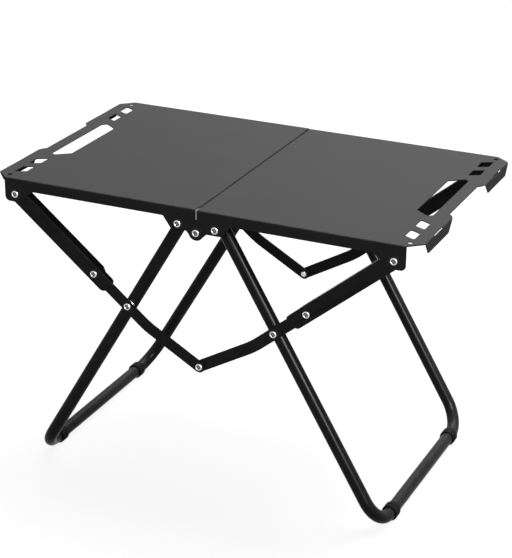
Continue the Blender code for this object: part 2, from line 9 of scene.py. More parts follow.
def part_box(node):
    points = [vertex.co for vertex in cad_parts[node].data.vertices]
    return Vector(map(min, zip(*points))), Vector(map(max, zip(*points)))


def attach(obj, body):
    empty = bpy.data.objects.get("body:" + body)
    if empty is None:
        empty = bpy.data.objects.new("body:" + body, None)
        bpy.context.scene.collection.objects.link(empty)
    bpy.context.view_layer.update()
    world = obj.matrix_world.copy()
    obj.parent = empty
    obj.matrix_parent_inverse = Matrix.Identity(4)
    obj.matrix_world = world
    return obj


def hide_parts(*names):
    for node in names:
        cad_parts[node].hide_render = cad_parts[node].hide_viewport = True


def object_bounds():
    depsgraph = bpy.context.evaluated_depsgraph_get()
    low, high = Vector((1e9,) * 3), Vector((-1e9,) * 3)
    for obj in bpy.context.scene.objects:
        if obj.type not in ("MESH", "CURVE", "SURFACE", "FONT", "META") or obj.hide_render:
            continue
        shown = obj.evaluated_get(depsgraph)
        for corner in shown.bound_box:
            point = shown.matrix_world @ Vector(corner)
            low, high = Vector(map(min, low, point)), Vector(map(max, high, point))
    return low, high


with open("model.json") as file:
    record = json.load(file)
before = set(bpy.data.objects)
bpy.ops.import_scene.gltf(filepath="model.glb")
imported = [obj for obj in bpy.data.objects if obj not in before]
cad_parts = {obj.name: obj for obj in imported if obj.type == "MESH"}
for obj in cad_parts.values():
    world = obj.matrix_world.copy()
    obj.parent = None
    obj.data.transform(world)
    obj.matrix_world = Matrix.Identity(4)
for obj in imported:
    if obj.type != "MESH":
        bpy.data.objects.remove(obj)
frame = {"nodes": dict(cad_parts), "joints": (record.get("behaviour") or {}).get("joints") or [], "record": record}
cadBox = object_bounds()

# A folding camping table. Pieces are drawn in millimetres and shrunk to metres when they are
# finished. The right half is the left half turned by half a turn, so only left pieces are drawn.

mm = 0.001
quarterTurn = math.pi / 2
near, far = -1, 1
sideNames = {near: "near", far: "far"}
twinWords = {"left": "right", "near": "far", "far": "near"}
scene = bpy.context.scene
bodyNodes = frame["record"]["behaviour"]["bodies"]


def readPivot(joint):
    place = next(j["pos_m"] for j in frame["joints"] if j["name"] == joint)
    return Vector((place[0], place[2])) / mm  # every axis lies along Y


def readMiddle(node):
    low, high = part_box(node)
    return (low + high) / 2 / mm


tableTop = cadBox[1].z / mm
halfLength = cadBox[1].x / mm
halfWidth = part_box("left_top_panel")[1].y / mm  # the outer flange, inside the rivet heads
hinge = readPivot("panel_fold")
legPivot = readPivot("left_leg_fold")
linkPivot = readPivot("left_near_link_swing")
elbow = readPivot("left_near_elbow")
cross = readMiddle("left_near_cross_rivet").xz
bottom = readMiddle("left_near_bottom_rivet").xz
sleeveLow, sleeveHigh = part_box("left_near_foot_sleeve")
sleeveRadius = (sleeveHigh.x - sleeveLow.x) / 2
footAxis = Vector(((sleeveLow.x + sleeveHigh.x) / 2, sleeveHigh.z - sleeveRadius)) / mm
print("frame read,", len(frame["nodes"]), "nodes")


def fromHex(code):
    parts = [int(code[i:i + 2], 16) / 255 for i in (1, 3, 5)]
    return tuple(c / 12.92 if c <= 0.04045 else ((c + 0.055) / 1.055) ** 2.4 for c in parts) + (1,)


white = fromHex("#ffffff")


def addNode(tree, kind, settings=None, inputs=None):
    node = tree.nodes.new(kind)
    node.location = (190 * (len(tree.nodes) % 10), -260 * (len(tree.nodes) // 10))
    for name, value in (settings or {}).items():
        setattr(node, name, value)
    for name, value in (inputs or {}).items():
        if isinstance(value, bpy.types.NodeSocket):
            tree.links.new(value, node.inputs[name])
        else:
            node.inputs[name].default_value = value
    return node


def startFinish(name, values):
    finish = bpy.data.materials.new(name)
    finish.use_nodes = True
    tree = finish.node_tree
    shader = tree.nodes["Principled BSDF"]
    for socket, value in values.items():
        shader.inputs[socket].default_value = value
    return finish, tree, addNode(tree, "ShaderNodeTexCoord").outputs["Object"]


def endFinish(tree, outputs):
    for socket, output in outputs.items():
        tree.links.new(output, tree.nodes["Principled BSDF"].inputs[socket])


def addNoise(tree, place, size, detail, roughness):
    return addNode(tree, "ShaderNodeTexNoise", None, {
        "Vector": place, "Scale": 1 / (size * mm), "Detail": detail,
        "Roughness": roughness}).outputs["Fac"]


def addRamp(tree, share, tones):
    ramp = addNode(tree, "ShaderNodeValToRGB", None, {"Fac": share})
    stops = ramp.color_ramp.elements
    while len(stops) < len(tones):
        stops.new(0.5)
    for stop, (position, code) in zip(stops, tones):
        stop.position = position
        stop.color = fromHex(code)
    return ramp.outputs["Color"]


noiseSpan = (0.3, 0.7)  # nearly all of a noise lies in it


def addGloss(tree, share, roughness):
    spread = addNode(tree, "ShaderNodeMapRange", None, {
        "Value": share, "From Min": noiseSpan[0], "From Max": noiseSpan[1],
        "To Min": roughness[0], "To Max": roughness[1]})
    return spread.outputs["Result"]


def addRelief(tree, share, strength, height):
    return addNode(tree, "ShaderNodeBump", None, {
        "Height": share, "Strength": strength, "Distance": height * mm}).outputs["Normal"]


# Powder coat on sheet steel: baked polyester powder with a fine matt texture, an even charcoal.
# The grit is 0.7 mm, and drifts of tone are 60 mm wide.
powderCoat = {
    "tones": ((0.3, "#313131"), (0.7, "#363636")),
    "gritSize": 0.7,
    "gritShare": 0.5,
    "gritRelief": (0.35, 0.02),           # strength and height
    "driftSize": 60,
    "roughness": (0.5, 0.6),
    "ior": 1.07,
}


def makePowderCoat():
    look = powderCoat
    finish, tree, place = startFinish("powder_coated_steel", {"IOR": look["ior"]})
    drift = addNoise(tree, place, look["driftSize"], detail=3, roughness=0.5)
    grit = addNoise(tree, place, look["gritSize"], detail=2, roughness=0.6)
    part = addNode(tree, "ShaderNodeMath", {"operation": "MULTIPLY"}, {
        0: grit, 1: look["gritShare"]})
    both = addNode(tree, "ShaderNodeMath", {"operation": "MULTIPLY_ADD"}, {
        0: drift, 1: 1 - look["gritShare"], 2: part.outputs[0]}).outputs[0]
    endFinish(tree, {
        "Base Color": addRamp(tree, both, look["tones"]),
        "Roughness": addGloss(tree, both, look["roughness"]),
        "Normal": addRelief(tree, grit, *look["gritRelief"])})
    return finish


# Black enamel on steel: sprayed and baked, a near black satin skin with a faint orange peel of
# 2.5 mm, which breaks up the light along a tube. The stamped links and bars are flatter.
blackEnamel = {
    "tones": ((0.35, "#252526"), (0.65, "#2d2d2e")),
    "driftSize": 35,
    "peelSize": 2.5,
    "peelRelief": (0.4, 0.005),           # strength and height
    "tubeRoughness": (0.26, 0.33),
    "sheetRoughness": (0.3, 0.38),
    "ior": 1.11,
}


def makeBlackEnamel(name, roughness):
    look = blackEnamel
    finish, tree, place = startFinish(name, {"IOR": look["ior"]})
    drift = addNoise(tree, place, look["driftSize"], detail=4, roughness=0.6)
    peel = addNoise(tree, place, look["peelSize"], detail=2, roughness=0.5)
    endFinish(tree, {
        "Base Color": addRamp(tree, drift, look["tones"]),
        "Roughness": addGloss(tree, drift, roughness),
        "Normal": addRelief(tree, peel, *look["peelRelief"])})
    return finish


# Zinc plated steel: bright plating over a headed rivet, silver with a cool cast, a little
# clouded at 1.5 mm. Painted shade makes the sunk middle of the head darker, and a band of painted shade runs along
# its wall.
zincPlate = {
    "tones": ((0.3, "#aaacae"), (0.6, "#d2d4d6")),
    # Shares of the profile's rings, from the middle out: painted shade in the head's recess, darkest along its
    # wall. The zinc washers take the same tones on their outer faces.
    "headShadeTones": ((0.1, "#7c7e81"), (0.18, "#2e2e30"), (0.24, "#2e2e30"), (0.31, "#ffffff")),
    "cloudSize": 1.5,
    "roughness": (0.36, 0.2),             # where it is cloudy, and where bright
}


def makeZincPlate():
    look = zincPlate
    finish, tree, place = startFinish("zinc_plated_steel", {"Metallic": 1})
    cloud = addNoise(tree, place, look["cloudSize"], detail=3, roughness=0.6)
    # The ring share lays the painted shade into each head's recess
    ring = addNode(tree, "ShaderNodeAttribute", {"attribute_name": "ringShare"})
    whole = addNode(tree, "ShaderNodeMix", {"data_type": "RGBA", "blend_type": "MULTIPLY"}, {
        "Factor": 1, 6: addRamp(tree, cloud, look["tones"]),
        7: addRamp(tree, ring.outputs["Fac"], look["headShadeTones"])})
    endFinish(tree, {
        "Base Color": whole.outputs[2],
        "Roughness": addGloss(tree, cloud, look["roughness"])})
    return finish


# Moulded black rubber: dull and slightly grey from bloom, with a fine grain of 0.5 mm.
footRubber = {
    "tones": ((0.4, "#141414"), (0.7, "#1e1e1d")),
    "bloomSize": 9,
    "grainSize": 0.5,
    "grainRelief": (0.5, 0.03),           # strength and height
    "roughness": 0.75,
    "ior": 1.12,
}


def makeFootRubber():
    look = footRubber
    finish, tree, place = startFinish("moulded_rubber", {
        "Roughness": look["roughness"], "IOR": look["ior"]})
    bloom = addNoise(tree, place, look["bloomSize"], detail=4, roughness=0.6)
    grain = addNoise(tree, place, look["grainSize"], detail=1, roughness=0.5)
    endFinish(tree, {
        "Base Color": addRamp(tree, bloom, look["tones"]),
        "Normal": addRelief(tree, grain, *look["grainRelief"])})
    return finish


topFinish = makePowderCoat()
tubeFinish = makeBlackEnamel("black_enamelled_tube", blackEnamel["tubeRoughness"])
flatFinish = makeBlackEnamel("black_enamelled_sheet", blackEnamel["sheetRoughness"])
zincFinish = makeZincPlate()
rubberFinish = makeFootRubber()
print("finishes made")


# How finely meshes are drawn, joined and shaded, in millimetres and degrees
meshing = {
    "holeSides": 40,
    "cornerSteps": 8,
    "bendSteps": 10,
    "joinWithin": 0.01,
    "cutWithin": 0.001,
    "sliver": 0.15,                       # shorter edges would spoil the bevel
    "flatWithin": 1,
    "rimSegments": 2,
    "sheetRimAngle": 50,
    "tubeRimAngle": 60,
    "tubeSharpAngle": 35,
    "turnedSharpAngle": 40,
    "turnedJoinWithin": 0.002,
}


def arcPoints(centre, start, sweep, steps):
    return [centre + Matrix.Rotation(sweep * step / steps, 2) @ start for step in range(steps + 1)]


def roundHole(x, y, radius):
    start = Vector((radius, 0))
    return arcPoints(Vector((x, y)), start, 2 * math.pi, meshing["holeSides"])[:-1]


def roundCorners(corners, steps=meshing["cornerSteps"]):
    points = []
    for index, (x, y, radius) in enumerate(corners):
        here = Vector((x, y))
        if radius <= 0:
            points.append(here)
            continue
        back = (Vector(corners[index - 1][:2]) - here).normalized()
        ahead = (Vector(corners[(index + 1) % len(corners)][:2]) - here).normalized()
        halfAngle = back.angle(ahead) / 2
        centre = here + (back + ahead).normalized() * radius / math.sin(halfAngle)
        reach = radius / math.tan(halfAngle)
        start = here + back * reach - centre
        end = here + ahead * reach - centre
        points += arcPoints(centre, start, -start.angle_signed(end), steps)
    return points


def meshOf(thing):
    scene.collection.objects.link(thing)
    bpy.context.view_layer.update()
    shown = thing.evaluated_get(bpy.context.evaluated_depsgraph_get())
    mesh = bpy.data.meshes.new_from_object(shown)
    bpy.data.objects.remove(thing, do_unlink=True)
    return mesh


def flatMesh(outlines, thickness=0):
    curve = bpy.data.curves.new("pattern", "CURVE")
    curve.dimensions = "2D"
    curve.fill_mode = "BOTH"
    curve.extrude = thickness / 2
    for outline in outlines:
        spline = curve.splines.new("POLY")
        spline.points.add(len(outline) - 1)
        for point, (x, y) in zip(spline.points, outline):
            point.co = (x, y, 0, 1)
        spline.use_cyclic_u = True
    mesh = meshOf(bpy.data.objects.new("pattern", curve))
    work = bmesh.new()
    work.from_mesh(mesh)
    bmesh.ops.remove_doubles(work, verts=work.verts, dist=meshing["joinWithin"])
    work.to_mesh(mesh)
    work.free()
    return mesh


def bendDown(mesh, direction, start, radius, halfLength=math.inf):
    direction = Vector((*direction, 0))
    steps = meshing["bendSteps"]
    bendLength = radius * quarterTurn
    work = bmesh.new()
    work.from_mesh(mesh)
    for step in range(steps + 1):
        everything = list(work.verts) + list(work.edges) + list(work.faces)
        bmesh.ops.bisect_plane(
            work, geom=everything, dist=meshing["cutWithin"], plane_no=direction,
            plane_co=direction * (start + bendLength * step / steps))
    for vertex in work.verts:
        past = vertex.co.dot(direction) - start
        if past <= 0 or abs(vertex.co.y) > halfLength:
            continue
        angle = min(past, bendLength) / radius
        down = radius * (1 - math.cos(angle)) + max(past - bendLength, 0)
        vertex.co += direction * (radius * math.sin(angle) - past) - Vector((0, 0, down))
    work.to_mesh(mesh)
    work.free()


def developed(depth, radius):
    return radius * quarterTurn + depth - radius  # along the sheet, from the start of its bend


def joinFlats(mesh):
    work = bmesh.new()
    work.from_mesh(mesh)
    bmesh.ops.dissolve_degenerate(work, dist=meshing["sliver"], edges=work.edges)
    bmesh.ops.dissolve_limit(
        work, angle_limit=math.radians(meshing["flatWithin"]), verts=work.verts,
        edges=work.edges, delimit=set())
    work.to_mesh(mesh)
    work.free()


def addWall(thing, thickness):
    wall = thing.modifiers.new("wall", "SOLIDIFY")
    wall.thickness = thickness
    wall.offset = -1
    return wall


def addRim(thing, width, angle):
    rim = thing.modifiers.new("rim", "BEVEL")
    rim.width = width
    rim.segments = meshing["rimSegments"]
    rim.angle_limit = math.radians(angle)
    return rim


def finishSheet(mesh, thickness, edge):
    joinFlats(mesh)
    thing = bpy.data.objects.new("sheet", mesh)
    if thickness:
        addWall(thing, thickness).use_even_offset = True
    rim = addRim(thing, edge, meshing["sheetRimAngle"])
    rim.limit_method = "ANGLE"
    rim.use_clamp_overlap = False
    mesh.shade_smooth()
    thing.modifiers.new("shading", "WEIGHTED_NORMAL")
    return meshOf(thing)


def addPiece(name, mesh, body, nodes, finish):
    piece = bpy.data.objects.new(name, mesh)
    mesh.name = name
    mesh.materials.clear()
    mesh.materials.append(finish)
    scene.collection.objects.link(piece)
    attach(piece, body)
    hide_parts(*nodes)


def twinName(name):
    return "_".join(twinWords.get(word, word) for word in name.split("_"))


def addBothHalves(name, mesh, body, nodes, finish):
    mesh.transform(Matrix.Scale(mm, 4))
    twin = mesh.copy()
    twin.transform(Matrix.Rotation(math.pi, 4, "Z"))
    addPiece(name, mesh, body, nodes, finish)
    addPiece(twinName(name), twin, twinName(body), [twinName(n) for n in nodes], finish)


# Top plate, 1.5 mm sheet, cut flat and bent down along the hinge, both sides and the end
topPlate = {
    "sheet": 1.5,
    "bend": 2,
    "edge": 0.25,
    "hingeGap": 1.6,
    "lipHalf": 172,                       # half the lip's length along the hinge
    "lipDepth": 8,
    "lipCorner": 3,
    "lipRelief": 1.2,
    "flangeLayer": {near: 1.8, far: 0},   # the near flange runs inside the other half's
    "cornerCut": 18.5,
    "endRadii": (7, 5),
    "flangeRadius": 3,
    "tabEnds": (65, 167.5),               # inner and outer, as are the tapers
    "tabTapers": (15.5, 11.5),
    "tabDepth": 16.4,
    "tabRadius": 4,
    "tabShoulder": 2,                     # the recess ends this far before a tab
    "tabRelief": 0.6,
    # Corners and the round hole are X, Y and radius
    "recess": (295, 56, 2),
    "slot": ((252.5, 60.5, 4), (272, 75.5, 3), (278, 70, 4)),
    "hangHoleX": (269.7, 284.7),
    "hangHoleStarts": (91.5, 128.5),
    "hangHoleLength": 22.2,
    "hangHoleSlant": 8,
    "hangHoleRadius": 2,
    "roundHole": (284, 170.5, 3.4),
    "slit": (103.5, 134, 0.1),            # both ends, and the share of the bend it spares
    "rivetHole": 2.8,
    "stripDepth": 15.3,
    "jointEdgeDepth": 14,
    "hingeLug": (37, 48, 31),             # its end and its slope along X, and its depth
    "endLug": (266, 241, 33),
    "lobe": (10.5, 4.5, 200, 370),        # radius, fillet, and the arc's angles
    "lobeSteps": 28,
}


def flangeOutline(side):
    size = topPlate
    edge = halfWidth - size["flangeLayer"][side] - size["bend"]
    lobeRadius, lobeFillet, lobeStart, lobeEnd = size["lobe"]
    lugX, lugSlopeX, lugDepth = size["hingeLug"]
    endX, endSlopeX, endDepth = size["endLug"]
    cornerX = halfLength - size["cornerCut"]
    jointX = size["hingeGap"] / 2
    outerRadius, innerRadius = size["endRadii"]
    radius = size["flangeRadius"]

    def down(depth):
        return edge + developed(depth, size["bend"])

    points = roundCorners([
        (-cornerX, edge, 0),
        (-cornerX, down(endDepth), outerRadius),
        (-endX, down(endDepth), innerRadius),
        (-endSlopeX, down(size["stripDepth"]), radius),
        (-lugSlopeX, down(size["stripDepth"]), radius),
        (-lugX, down(lugDepth), radius),
        (-lobeRadius - lobeFillet, down(lugDepth), radius),
        (-lobeRadius, down(lugDepth + lobeFillet), 0),
    ])
    centre = Vector((0, down(tableTop - hinge.y)))
    start = Matrix.Rotation(-math.radians(lobeStart), 2) @ Vector((lobeRadius, 0))
    points += arcPoints(centre, start, math.radians(lobeStart - lobeEnd), size["lobeSteps"])
    points += [(-jointX, down(size["jointEdgeDepth"])), (-jointX, edge)]
    lipHalf, corner = size["lipHalf"], size["lipCorner"]
    reliefEnd = lipHalf + size["lipRelief"]
    bendX = -jointX - size["bend"]
    lipX = bendX + developed(size["lipDepth"], size["bend"])
    points += [(-jointX, reliefEnd), (bendX, reliefEnd), (bendX, lipHalf),
               (lipX - corner, lipHalf), (lipX, lipHalf - corner)]
    return [(x, side * y) for x, y in points]


def endOutline():
    size = topPlate
    bendX = halfLength - size["bend"]
    tabX = bendX + developed(size["tabDepth"], size["bend"])
    inner, outer = size["tabEnds"]
    taperIn, taperOut = size["tabTapers"]
    half = [
        size["recess"],
        (bendX, inner - size["tabShoulder"], 0),
        (bendX, inner, 0),
        (tabX, inner + taperIn, size["tabRadius"]),
        (tabX, outer - taperOut, size["tabRadius"]),
        (bendX, outer, 0),
        (bendX, outer + size["tabRelief"], 0),
    ]
    nearHalf = [(-x, -y, radius) for x, y, radius in reversed(half)]
    return roundCorners(nearHalf + [(-x, y, radius) for x, y, radius in half])


def plateHoles():
    size = topPlate
    farSlot = [(-x, y, radius) for x, y, radius in size["slot"]]
    holes = [roundCorners(farSlot + [(x, -y, radius) for x, y, radius in reversed(farSlot)])]
    innerX, outerX = size["hangHoleX"]
    slitStart, slitEnd, slitMargin = size["slit"]
    bendX = halfLength - size["bend"]
    bendLength = size["bend"] * quarterTurn
    slitX = (-bendX - slitMargin * bendLength, -bendX - (1 - slitMargin) * bendLength)
    for side in (near, far):
        for start in size["hangHoleStarts"]:
            end = start + size["hangHoleLength"]
            slant, corner = size["hangHoleSlant"], size["hangHoleRadius"]
            holes.append(roundCorners([
                (-innerX, side * start, corner),
                (-innerX, side * end, corner),
                (-outerX, side * (end + slant), corner),
                (-outerX, side * (start + slant), corner),
            ]))
        x, y, radius = size["roundHole"]
        holes.append(roundHole(-x, side * y, radius))
        holes.append([(slitX[0], side * slitStart), (slitX[0], side * slitEnd),
                      (slitX[1], side * slitEnd), (slitX[1], side * slitStart)])
        edge = halfWidth - size["flangeLayer"][side] - size["bend"]
        for place in (hinge, legPivot, linkPivot):
            y = edge + developed(tableTop - place.y, size["bend"])
            holes.append(roundHole(place.x, side * y, size["rivetHole"]))
    return holes


def makeTopPlates():
    size = topPlate
    outline = list(reversed(flangeOutline(near))) + endOutline() + flangeOutline(far)
    mesh = flatMesh([outline] + plateHoles())
    lipStart = -size["hingeGap"] / 2 - size["bend"]
    lipReach = size["lipHalf"] + size["lipRelief"] / 2  # clear of the lip's last points
    bendDown(mesh, (1, 0), lipStart, size["bend"], lipReach)
    for side in (near, far):
        edge = halfWidth - size["flangeLayer"][side] - size["bend"]
        bendDown(mesh, (0, side), edge, size["bend"])
    bendDown(mesh, (-1, 0), halfLength - size["bend"], size["bend"])
    mesh = finishSheet(mesh, size["sheet"], size["edge"])
    mesh.transform(Matrix.Translation((0, 0, tableTop)))
    addBothHalves("left_top_plate", mesh, "left_top", ["left_top_panel"], topFinish)


makeTopPlates()
print("top plates made")


# Stamped link, an L section with its web on top, narrower past the elbow
stampedLink = {
    "sheet": 1.5,
    "bend": 2.4,
    "edge": 0.3,
    "layer": 3.6,
    "halfHeight": 10.7,
    "pastElbow": 27.5,
    "endRadii": (8, 9),                   # at the corner rivet and past the elbow
    "webDepth": (14, 8.6),
    "webTaper": (151, 159),
    "webRadii": (6, 7),
    "cornerSteps": 12,
    "rivetHole": 2.8,
}


def makeStampedLinks():
    size = stampedLink
    along = elbow - linkPivot
    end = along.length + size["pastElbow"]
    half = size["halfHeight"]
    edge = half - size["bend"]
    web, webEnd = (edge + developed(depth, size["bend"]) for depth in size["webDepth"])
    taperStart, taperEnd = size["webTaper"]
    corners = [
        (-half, -half, size["endRadii"][0]),
        (end, -half, size["endRadii"][1]),
        (end, webEnd, size["webRadii"][1]),
        (taperEnd, webEnd, 0),
        (taperStart, web, 0),
        (-half, web, size["webRadii"][0]),
    ]
    for side in (near, far):
        outline = [(x, -side * y) for x, y in roundCorners(corners, size["cornerSteps"])]
        holes = [roundHole(x, 0, size["rivetHole"]) for x in (0, along.length)]
        mesh = flatMesh([outline] + holes)
        bendDown(mesh, (0, -side), edge, size["bend"])
        mesh = finishSheet(mesh, size["sheet"], size["edge"])
        # The pattern's face points out of the table, so the far link lies upside down
        turn = Euler((-side * quarterTurn, -math.atan2(along.y, along.x), 0))
        place = (linkPivot.x, side * (halfWidth - size["layer"]), linkPivot.y)
        mesh.transform(Matrix.Translation(place) @ turn.to_matrix().to_4x4())
        body = f"left_{sideNames[side]}_link"
        addBothHalves(f"{body}_stamped", mesh, body, [body], flatFinish)


makeStampedLinks()


# Flat bar with a smooth bend past the leg, and round ends
flatBar = {
    "thickness": 2.5,
    "edge": 0.4,
    "halfWidth": 8,
    "bendPastCross": 37,
    "bendRadius": 130,
    "bendSteps": 12,
    "endSteps": 24,
    "layer": {near: 6.9, far: 9.7},       # the left half's near bar is the outer one
    "rivetHole": 2.8,
}


def makeFlatBars():
    size = flatBar
    corner = cross + (cross - elbow).normalized() * size["bendPastCross"]
    first = corner - elbow
    second = bottom - corner
    turn = -first.angle_signed(second)
    start = first - first.normalized() * size["bendRadius"] * math.tan(abs(turn) / 2)
    across = math.copysign(1, turn) * Vector((-first.y, first.x)).normalized()
    centre = start + across * size["bendRadius"]
    bend = arcPoints(centre, start - centre, turn, size["bendSteps"])
    path = [Vector((0, 0))] + bend + [bottom - elbow]
    offsets = []
    for index in range(len(path)):
        run = path[min(index + 1, len(path) - 1)] - path[max(index - 1, 0)]
        offsets.append(Vector((-run.y, run.x)).normalized() * size["halfWidth"])
    upper = [point + offset for point, offset in zip(path, offsets)]
    lower = [point - offset for point, offset in zip(path, offsets)]
    lastEnd = arcPoints(path[-1], offsets[-1], -math.pi, size["endSteps"])[1:-1]
    firstEnd = arcPoints(path[0], -offsets[0], -math.pi, size["endSteps"])[1:-1]
    outline = upper + lastEnd + list(reversed(lower)) + firstEnd
    holes = [roundHole(*(pivot - elbow), size["rivetHole"]) for pivot in (elbow, cross, bottom)]
    for side in (near, far):
        mesh = finishSheet(flatMesh([outline] + holes, size["thickness"]), 0, size["edge"])
        middle = halfWidth - size["layer"][side] - size["thickness"] / 2
        turnUp = Matrix.Rotation(quarterTurn, 4, "X")
        mesh.transform(Matrix.Translation((elbow.x, side * middle, elbow.y)) @ turnUp)
        body = f"left_{sideNames[side]}_bar"
        addBothHalves(f"{body}_flat", mesh, body, [body], flatFinish)


makeFlatBars()
print("links and bars made")


def startTree(name, inputs):
    tree = bpy.data.node_groups.new(name, "GeometryNodeTree")
    tree.interface.new_socket("Geometry", in_out="INPUT", socket_type="NodeSocketGeometry")
    for label, kind in inputs.items():
        tree.interface.new_socket(label, in_out="INPUT", socket_type=f"NodeSocket{kind}")
    tree.interface.new_socket("Geometry", in_out="OUTPUT", socket_type="NodeSocketGeometry")
    return tree, addNode(tree, "NodeGroupInput").outputs


def endTree(tree, geometry, finish):
    whole = addNode(tree, "GeometryNodeRealizeInstances", None, {"Geometry": geometry})
    painted = addNode(tree, "GeometryNodeSetMaterial", None, {
        "Geometry": whole.outputs[0], "Material": finish})
    addNode(tree, "NodeGroupOutput", None, {"Geometry": painted.outputs[0]})


def growThing(tree, base, values):
    thing = bpy.data.objects.new(tree.name, base)
    grow = thing.modifiers.new("grow", "NODES")
    grow.node_group = tree
    for item in tree.interface.items_tree:
        if item.name in values:
            grow[item.identifier] = values[item.name]
    return thing


# Bent tube: a corner path is rounded and swept, and its wall is given afterwards
def makeTubeTree():
    tree, given = startTree("bent_tube", {
        "Bend radius": "Float", "Bend steps": "Int", "Tube radius": "Float",
        "Sides": "Int", "Finish": "Material"})
    path = addNode(tree, "GeometryNodeMeshToCurve", None, {"Mesh": given["Geometry"]})
    bent = addNode(tree, "GeometryNodeFilletCurve", {"mode": "POLY"}, {
        "Curve": path.outputs[0], "Radius": given["Bend radius"], "Count": given["Bend steps"]})
    section = addNode(tree, "GeometryNodeCurvePrimitiveCircle", None, {
        "Resolution": given["Sides"], "Radius": given["Tube radius"]})
    swept = addNode(tree, "GeometryNodeCurveToMesh", None, {
        "Curve": bent.outputs[0], "Profile Curve": section.outputs[0]})
    smooth = addNode(tree, "GeometryNodeSetShadeSmooth", None, {"Geometry": swept.outputs[0]})
    endTree(tree, smooth.outputs[0], given["Finish"])
    return tree


# Leg, one U shaped tube open at its upper ends
legTube = {
    "radius": 8.7,
    "wall": 1.5,
    "edge": 0.3,
    "layer": 12.5,
    "bendRadius": 39,
    "bendSteps": 24,
    "sides": 48,
    "pastPivot": 10,
    "rivetHole": 2.8,
    "drillSides": 32,
}


def makeLegTubes():
    size = legTube
    along = cross - legPivot
    slope = math.atan2(along.y, along.x)
    length = (footAxis.y - legPivot.y) / math.sin(slope)
    armY = halfWidth - size["layer"] - size["radius"]
    path = bpy.data.meshes.new("leg_path")
    corners = [(-size["pastPivot"], -armY, 0), (length, -armY, 0),
               (length, armY, 0), (-size["pastPivot"], armY, 0)]
    path.from_pydata(corners, [(0, 1), (1, 2), (2, 3)], [])
    thing = growThing(makeTubeTree(), path, {
        "Bend radius": size["bendRadius"], "Bend steps": size["bendSteps"],
        "Tube radius": size["radius"], "Sides": size["sides"], "Finish": tubeFinish})
    outer = meshOf(thing)
    tube = bpy.data.objects.new("tube", outer)
    addWall(tube, size["wall"])
    addRim(tube, size["edge"], meshing["tubeRimAngle"])
    drills = bmesh.new()
    for side in (near, far):
        for x in (0, along.length):
            place = Matrix.Translation((x, side * armY, 0)) @ Matrix.Rotation(quarterTurn, 4, "X")
            bmesh.ops.create_cone(
                drills, cap_ends=True, segments=size["drillSides"], radius1=size["rivetHole"],
                radius2=size["rivetHole"], depth=4 * size["radius"], matrix=place)
    drillMesh = bpy.data.meshes.new("drills")
    drills.to_mesh(drillMesh)
    drills.free()
    drill = bpy.data.objects.new("drills", drillMesh)
    scene.collection.objects.link(drill)
    holes = tube.modifiers.new("holes", "BOOLEAN")
    holes.operation = "DIFFERENCE"
    holes.object = drill
    mesh = meshOf(tube)
    bpy.data.objects.remove(drill, do_unlink=True)
    mesh.set_sharp_from_angle(angle=math.radians(meshing["tubeSharpAngle"]))
    turn = Euler((0, -slope, 0)).to_matrix().to_4x4()
    mesh.transform(Matrix.Translation((legPivot.x, 0, legPivot.y)) @ turn)
    addBothHalves(
        "left_leg_bent_tube", mesh, "left_leg", ["left_leg_tube"], tubeFinish)


makeLegTubes()
print("legs made")


